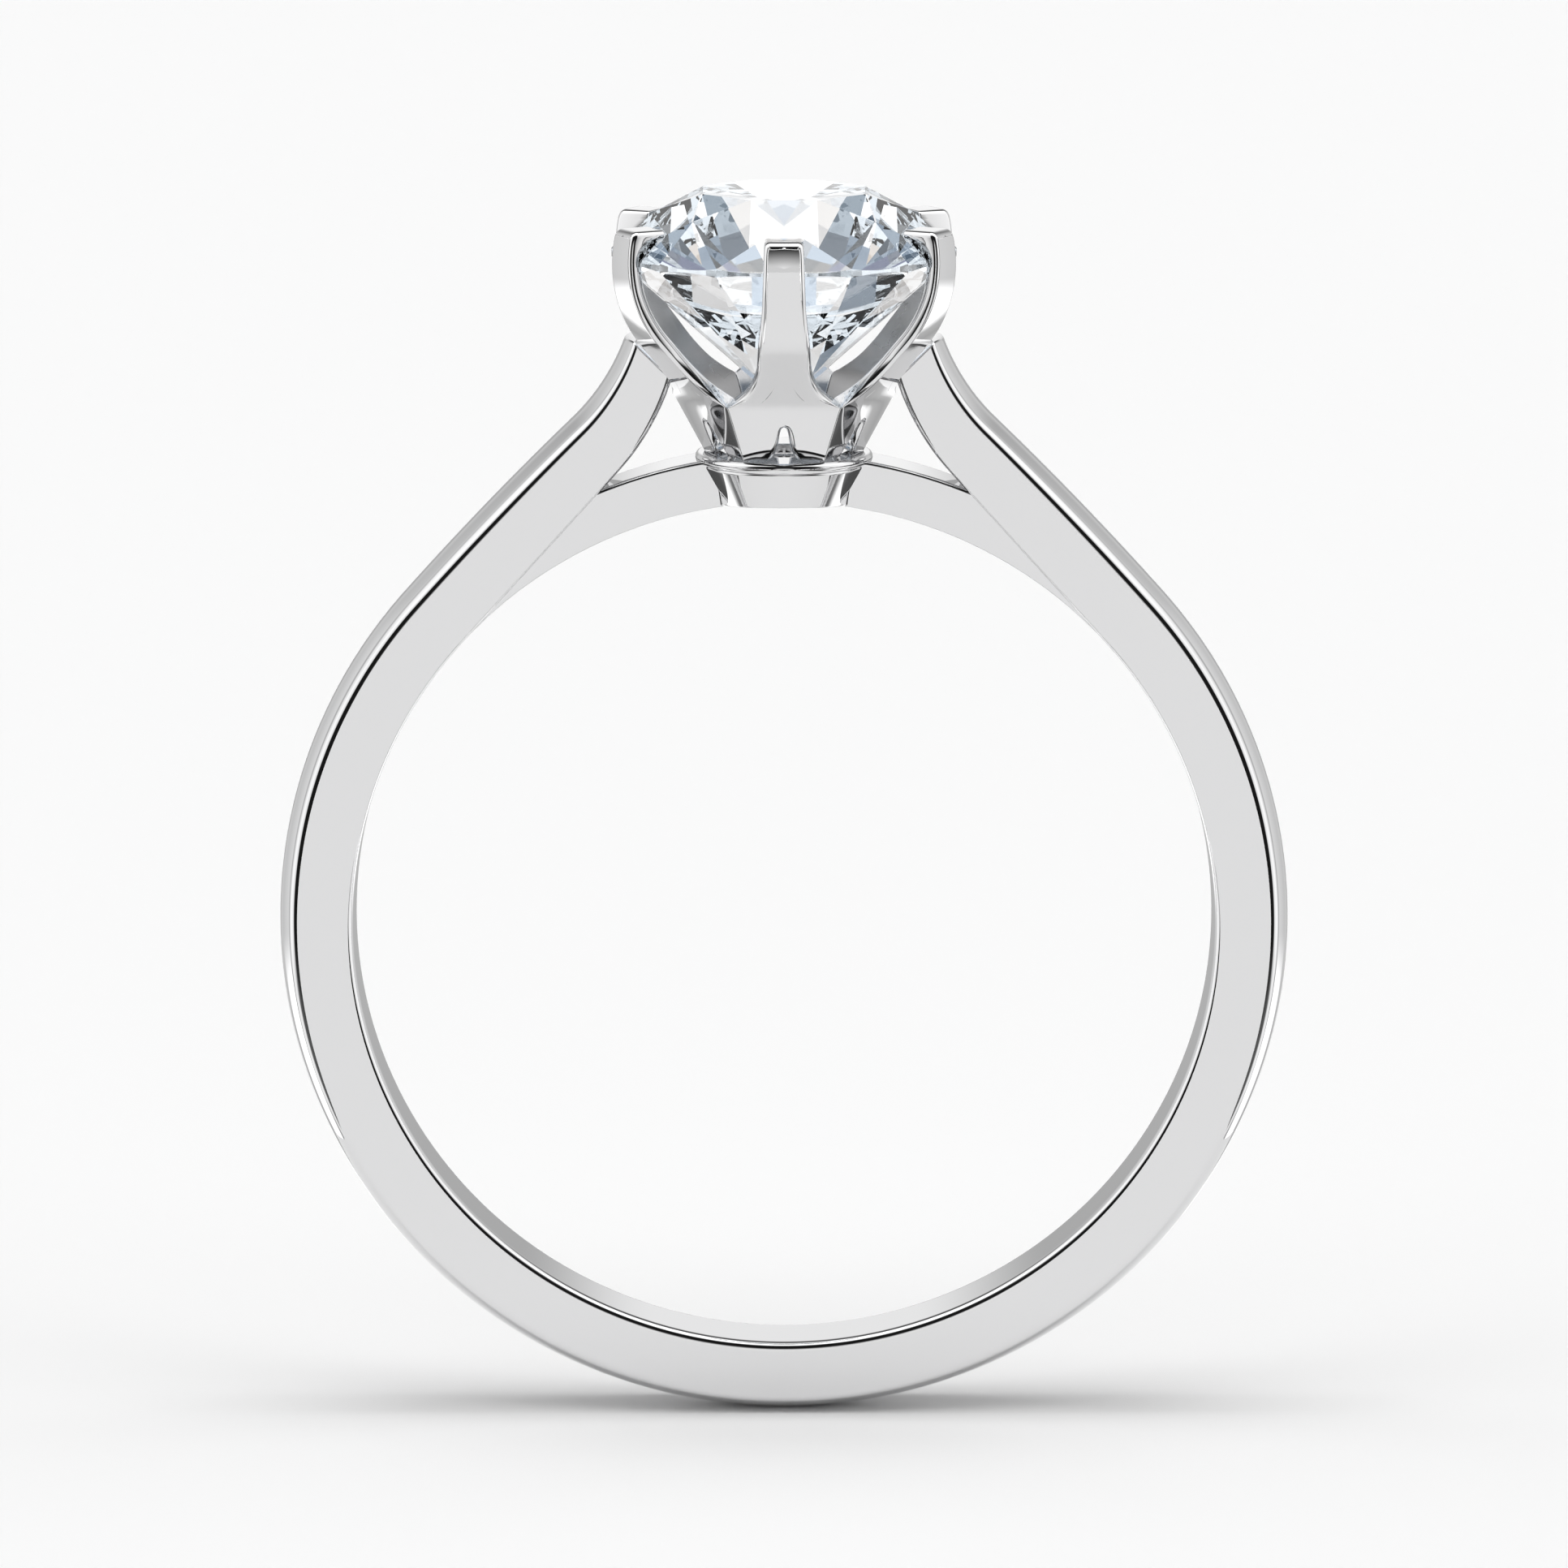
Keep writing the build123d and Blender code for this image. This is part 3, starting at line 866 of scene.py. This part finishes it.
def makeClaw(name, bearing):
    # an outer and an inner sheet fill the same flat border, and quarter-round edges join them through
    # the claw's thickness; the whole is turned to its bearing from the front
    border = clawBorder()
    columns, rows = len(border[0]) - 1, len(border[1]) - 1
    loop = insetBorder(border, np.zeros(2 * (columns + rows)))
    across, z = loop[:, 0], loop[:, 1]
    onSide = np.zeros(len(loop), bool)
    onSide[columns : columns + rows] = True
    onSide[2 * columns + rows :] = True
    onFoot = np.zeros(len(loop), bool)
    onFoot[:columns] = True
    sideRound = claw["mitreRound"] + (claw["sideRound"] - claw["mitreRound"]) * smoothStep(
        cuspZ, cuspZ + claw["roundChange"], z
    )
    topShare = smoothStep(tipZ - 2 * claw["cornerRound"], tipZ, z)
    sideRound = sideRound + (claw["topRound"] - sideRound) * topShare
    onArch = smoothStep(*claw["archSpan"], np.abs(across))
    footRound = claw["archRound"] * onArch + claw["mitreRound"]
    outerRound = np.where(onFoot, footRound, sideRound)
    innerRound = np.minimum(outerRound, claw["innerRound"])
    outerFlat = insetBorder(border, outerRound)
    innerFlat = insetBorder(border, innerRound)
    thickness = np.linalg.norm(onClaw(loop, 0.0) - onClaw(loop, 1.0), axis=-1)
    outerSheet = fillPatch(*splitLoop(outerFlat, columns, rows))
    innerSheet = fillPatch(*splitLoop(innerFlat, columns, rows))
    rings = []
    for turn in np.linspace(0, math.pi / 2, claw["outerSteps"])[1:]:
        flat = insetBorder(border, outerRound * (1 - math.sin(turn)))
        depth = outerRound * (1 - math.cos(turn)) / thickness
        rings.append(onClaw(flat, depth))
    for turn in np.linspace(math.pi / 2, 0, claw["innerSteps"])[:-1]:
        flat = insetBorder(border, innerRound * (1 - math.sin(turn)))
        depth = 1 - innerRound * (1 - math.cos(turn)) / thickness
        rings.append(onClaw(flat, depth))
    outer = onClaw(outerSheet, 0.0)
    inner = onClaw(innerSheet, 1.0)
    size = (rows + 1) * (columns + 1)
    number = np.arange(size).reshape(rows + 1, columns + 1)
    edge = np.concatenate([
        number[0, :-1], number[:-1, -1], number[-1, :0:-1], number[:0:-1, 0]
    ])
    blocks = [outer.reshape(-1, 3), inner.reshape(-1, 3)] + rings
    numbers = [edge]
    start = 2 * size
    for ring in rings:
        numbers.append(np.arange(start, start + len(ring)))
        start += len(ring)
    numbers.append(edge + size)
    quads = gridQuads(rows + 1, columns + 1)
    faces = [quads, quads[:, ::-1] + size]
    for ringA, ringB in zip(numbers[:-1], numbers[1:]):
        faces.append(ringQuads(ringA, ringB)[:, ::-1])
    points = np.vstack(blocks)
    turn = math.radians(bearing)
    outward = np.array([math.sin(turn), -math.cos(turn), 0])
    sideways = np.array([math.cos(turn), math.sin(turn), 0])
    placed = points[:, :1] * outward + points[:, 1:2] * sideways + points[:, 2:] * (0, 0, 1)
    overStone = (placed[:, 2] > girdleTopZ) & (np.hypot(placed[:, 0], placed[:, 1]) < stoneRadius)
    crown = crownSurface(placed[:, 0], placed[:, 1]) + claw["lift"]
    placed[:, 2] = np.where(overStone, np.maximum(placed[:, 2], crown), placed[:, 2])
    piece = addPiece(name + "Surface", placed, faces, headMetal)
    piece.data.materials.append(dullShadedInside)
    # the claw's inner sheet takes the inside material, whose darker colour is painted shade
    inside = np.zeros(len(piece.data.polygons), dtype=np.int32)
    inside[len(quads) : 2 * len(quads)] = 1
    piece.data.polygons.foreach_set("material_index", inside)
    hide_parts(name)
    return piece


clawNames = (
    "claw_front",
    "claw_front_right",
    "claw_back_right",
    "claw_back",
    "claw_back_left",
    "claw_front_left",
)
for index, name in enumerate(clawNames):
    makeClaw(name, index * 360 / head["clawCount"])
print("claws made")


studio = {
    "floorSize": 3000.0,
    "frontNear": 30.0,  # width of the floor that the metal mirrors, at its edge behind the ring
    "frontFar": 84.0,  # and at its far end, before the ring
    "frontBack": 8.0,
    "frontDepth": 400.0,
    "floorColour": (0.95, 0.95, 0.95),
    "strength": 1.15,
    "strip": 10.2,  # brightness of the narrow lamp overhead
    "stripHalf": 0.035,  # its half width, as a sine
    "stripReach": 0.36,
    "stripSoft": 0.2,  # share of its half width over which its edge fades
    "stripFade": 0.1,
    "overFrom": (0.35, 1.05),  # climb in radians over which light from the sides gives way to overhead
    "underFrom": (0.23, 0.36),  # and depths, as sines, over which it gives way to light from below
    "steepFrom": (0.5, 0.66),  # and that to light from nearly straight below
}
# brightness by angle from the front, in degrees, for light from the sides and from above
sideStops = ((0, 0.7), (8, 0.7), (14, 0.01), (47, 0.01), (54, 0.85), (84, 1.15), (101, 0.9),
             (106, 0.4), (110, 0.75), (134, 0.6), (150, 0.6), (158, 0.42), (180, 0.42))
overStops = ((0, 0.9), (6, 0.55), (13, 0.2), (18, 0.01), (57, 0.01), (68, 1.4), (102, 1.5),
             (112, 0.08), (138, 0.1), (160, 0.8), (168, 0.92), (180, 0.88))
# brightness by bearing from the front, for light from below and from nearly straight below
underStops = ((0, 0.97), (12, 0.9), (20, 0.1), (54, 0.1), (68, 0.9), (88, 0.97), (101, 0.9),
              (104, 0.25), (107, 0.35), (109, 1.5), (134, 1.4), (138, 1.3), (143, 0.5),
              (150, 0.4), (156, 0.5), (160, 1.1), (180, 1.1))
steepStops = ((0, 0.8), (34, 0.8), (46, 0.12), (58, 0.12), (72, 0.85), (84, 0.85), (92, 0.08),
              (108, 0.2), (116, 1.2), (134, 1.4), (143, 0.4), (156, 0.4), (162, 1.0), (180, 1.0))


def ramped(tree, value, stops):
    # a colour ramp over 0 to 180 degrees; a stop is a grey level or a colour
    ramp = tree.nodes.new("ShaderNodeValToRGB")
    elements = ramp.color_ramp.elements
    elements[0].position = 0
    elements[1].position = 1
    for angle, _ in stops[1:-1]:
        elements.new(angle / 180)
    for element, (_, level) in zip(elements, stops):
        colour = level if isinstance(level, tuple) else (level, level, level)
        element.color = (*colour, 1)
    tree.links.new(value, ramp.inputs["Fac"])
    return ramp.outputs["Color"]


def mixNode(tree, share, first, second):
    # from the first colour at 0 to the second at 1
    node = tree.nodes.new("ShaderNodeMix")
    node.data_type = "RGBA"
    tree.links.new(share, node.inputs["Factor"])
    tree.links.new(first, node.inputs[6])
    tree.links.new(second, node.inputs[7])
    return node.outputs[2]


def makeFloor():
    # two pieces in one plane: metal mirrors only the one that lies under and before the ring, and
    # has the surround's panels to the sides and behind
    half = studio["floorSize"] / 2
    near, far = studio["frontNear"] / 2, studio["frontFar"] / 2
    back, deep = studio["frontBack"], -studio["frontDepth"]
    z = shankLow[2]
    front = np.array([(-far, deep, z), (far, deep, z), (near, back, z), (-near, back, z)])
    outer = np.array([(-half, -half, z), (half, -half, z), (half, half, z), (-half, half, z)])
    material, _, shader, _ = newMaterial("paper")
    shader.inputs["Base Color"].default_value = (*studio["floorColour"], 1)
    shader.inputs["Roughness"].default_value = 1
    shader.inputs["Specular IOR Level"].default_value = 0
    sides = [(0, 1, 5, 4), (1, 2, 6, 5), (2, 3, 7, 6), (3, 0, 4, 7)]
    for name, corners, faces in (
        ("floorFront", front, [(0, 1, 2, 3)]),
        ("floorRound", np.vstack([outer, front]), sides),
    ):
        mesh = bpy.data.meshes.new(name)
        mesh.from_pydata((corners * mm).tolist(), [], faces)
        mesh.materials.append(material)
        floor = bpy.data.objects.new(name, mesh)
        bpy.context.scene.collection.objects.link(floor)
        floor.visible_glossy = name == "floorFront"
        floor.visible_transmission = False


# what the stone's facets pick up, by height from straight down, 0, to straight up, 180, ahead of
# the ring and behind it
slate, paleBlue, white = (0.12, 0.18, 0.26), (0.62, 0.77, 0.95), (1.05, 1.05, 1.05)
bright = (1.4, 1.4, 1.4)
stoneAhead = ((0, bright), (80, bright), (84, (0.24, 0.31, 0.38)),
              (94, (0.24, 0.31, 0.38)), (97, (1.1, 0.9, 0.7)), (99, (0.3, 0.38, 0.47)),
              (104, (0.3, 0.38, 0.47)), (109, slate), (120, (0.2, 0.28, 0.38)),
              (125, (0.03, 0.04, 0.05)), (127, (0.03, 0.04, 0.05)), (130, (0.3, 0.4, 0.52)),
              (134, slate), (143, (0.05, 0.07, 0.1)), (149, (0.02, 0.03, 0.16)),
              (151, (0.01, 0.01, 0.01)), (165, (0.01, 0.01, 0.01)), (169, (0.35, 0.36, 0.38)),
              (173, white), (180, white))
stoneBehind = ((0, white), (30, white), (36, paleBlue), (42, white), (60, white),
               (66, (0.78, 0.76, 0.74)), (84, (0.78, 0.76, 0.74)), (96, (0.62, 0.6, 0.585)),
               (102, (0.5, 0.6, 0.72)), (112, (0.4, 0.52, 0.68)), (115, (1.1, 0.95, 0.9)), (120, white),
               (136, white), (139, slate), (158, (0.2, 0.27, 0.36)), (163, white), (180, white))
stoneLight = {
    "behindFrom": (0.5, 0.56),  # as shares of a half turn from the front
    "patch": (0.12, 0.16, 0.21),  # one darker place behind, which shades the stone's lower right
    "patchFar": (-0.47, -0.44),  # its edges, as sines towards -X
    "patchNear": (-0.33, -0.30),
    "patchFrom": (0.78, 0.80),
    "sparkle": (0.85, 0.93, 1.0),  # light that has turned many times in the stone
    "sparkleTurns": (5.4, 6.6),
}


def plainColour(tree, colour):
    # a node with one colour
    node = tree.nodes.new("ShaderNodeRGB")
    node.outputs[0].default_value = (*colour, 1)
    return node.outputs[0]


def makeSurround():
    # a pale room: panels at the sides and behind, dark gaps between them that draw the edges, and a
    # narrow lamp overhead along X; rays that leave the stone see tones of their own
    world = bpy.data.worlds.new("surround")
    bpy.context.scene.world = world
    world.use_nodes = True
    tree = world.node_tree
    background = tree.nodes["Background"]
    place = tree.nodes.new("ShaderNodeTexCoord")
    split = tree.nodes.new("ShaderNodeSeparateXYZ")
    tree.links.new(place.outputs["Generated"], split.inputs[0])
    x, y, z = (split.outputs[axis] for axis in "XYZ")
    aside = mathNode(tree, "ABSOLUTE", x)
    ahead = mathNode(tree, "MULTIPLY", y, -1.0)
    fromFront = mathNode(tree, "DIVIDE", mathNode(tree, "ARCCOSINE", ahead), math.pi)
    bearing = mathNode(tree, "DIVIDE", mathNode(tree, "ARCTAN2", aside, ahead), math.pi)
    climb = mathNode(tree, "ARCTAN2", z, aside)
    down = mathNode(tree, "MULTIPLY", z, -1.0)
    over = stepNode(tree, climb, *studio["overFrom"])
    under = stepNode(tree, down, *studio["underFrom"])
    colour = mixNode(tree, over, ramped(tree, fromFront, sideStops),
                     ramped(tree, fromFront, overStops))
    colour = mixNode(tree, under, colour, ramped(tree, bearing, underStops))
    steep = stepNode(tree, down, *studio["steepFrom"])
    colour = mixNode(tree, steep, colour, ramped(tree, bearing, steepStops))
    edge, soft = studio["stripHalf"], studio["stripHalf"] * studio["stripSoft"]
    narrow = stepNode(tree, mathNode(tree, "ABSOLUTE", y), edge + soft, edge - soft)
    reach = stepNode(tree, aside, studio["stripReach"], studio["stripReach"] - studio["stripFade"])
    above = stepNode(tree, z, 0.0, studio["stripFade"])
    strip = mathNode(tree, "MULTIPLY", mathNode(tree, "MULTIPLY", narrow, reach), above)
    lamp = tree.nodes.new("ShaderNodeVectorMath")
    lamp.operation = "MULTIPLY_ADD"
    lamp.inputs[1].default_value = (studio["strip"],) * 3
    tree.links.new(strip, lamp.inputs[0])
    tree.links.new(colour, lamp.inputs[2])
    level = mathNode(tree, "MULTIPLY_ADD", z, 0.5, 0.5)
    nearest, farthest = stoneLight["behindFrom"]
    facing = stepNode(tree, fromFront, farthest, nearest)
    inStone = mixNode(tree, facing, ramped(tree, level, stoneBehind),
                      ramped(tree, level, stoneAhead))
    patch = mathNode(tree, "MULTIPLY", stepNode(tree, x, *stoneLight["patchNear"][::-1]),
                     stepNode(tree, x, *stoneLight["patchFar"]))
    patch = mathNode(tree, "MULTIPLY", patch, stepNode(tree, fromFront, *stoneLight["patchFrom"]))
    inStone = mixNode(tree, patch, inStone, plainColour(tree, stoneLight["patch"]))
    path = tree.nodes.new("ShaderNodeLightPath")
    deep = stepNode(tree, path.outputs["Ray Depth"], *stoneLight["sparkleTurns"])
    inStone = mixNode(tree, deep, inStone, plainColour(tree, stoneLight["sparkle"]))
    seen = mixNode(tree, path.outputs["Is Transmission Ray"], lamp.outputs["Vector"], inStone)
    tree.links.new(seen, background.inputs["Color"])
    background.inputs["Strength"].default_value = studio["strength"]


view = {
    "tilt": 12.1,  # degrees below the horizontal
    "away": 128.4,  # from the finger hole's centre, along the floor
    "above": 30.22,
    "lens": 157.45,
    "sensor": 36.0,
}


def makeCamera():
    # stands before the ring and looks down a little
    camera = bpy.data.cameras.new("camera")
    camera.lens = view["lens"]
    camera.sensor_width = view["sensor"]
    camera.clip_start = 0.001
    camera.clip_end = 100
    holder = bpy.data.objects.new("camera", camera)
    bpy.context.scene.collection.objects.link(holder)
    holder.location = (0, -view["away"] * mm, view["above"] * mm)
    holder.rotation_euler = (math.radians(90 - view["tilt"]), 0, 0)
    bpy.context.scene.camera = holder


makeFloor()
makeSurround()
makeCamera()
scene = bpy.context.scene
scene.view_settings.view_transform = "Standard"
scene.cycles.max_bounces = 32
scene.cycles.transmission_bounces = 32
scene.cycles.glossy_bounces = 12
print("studio made")
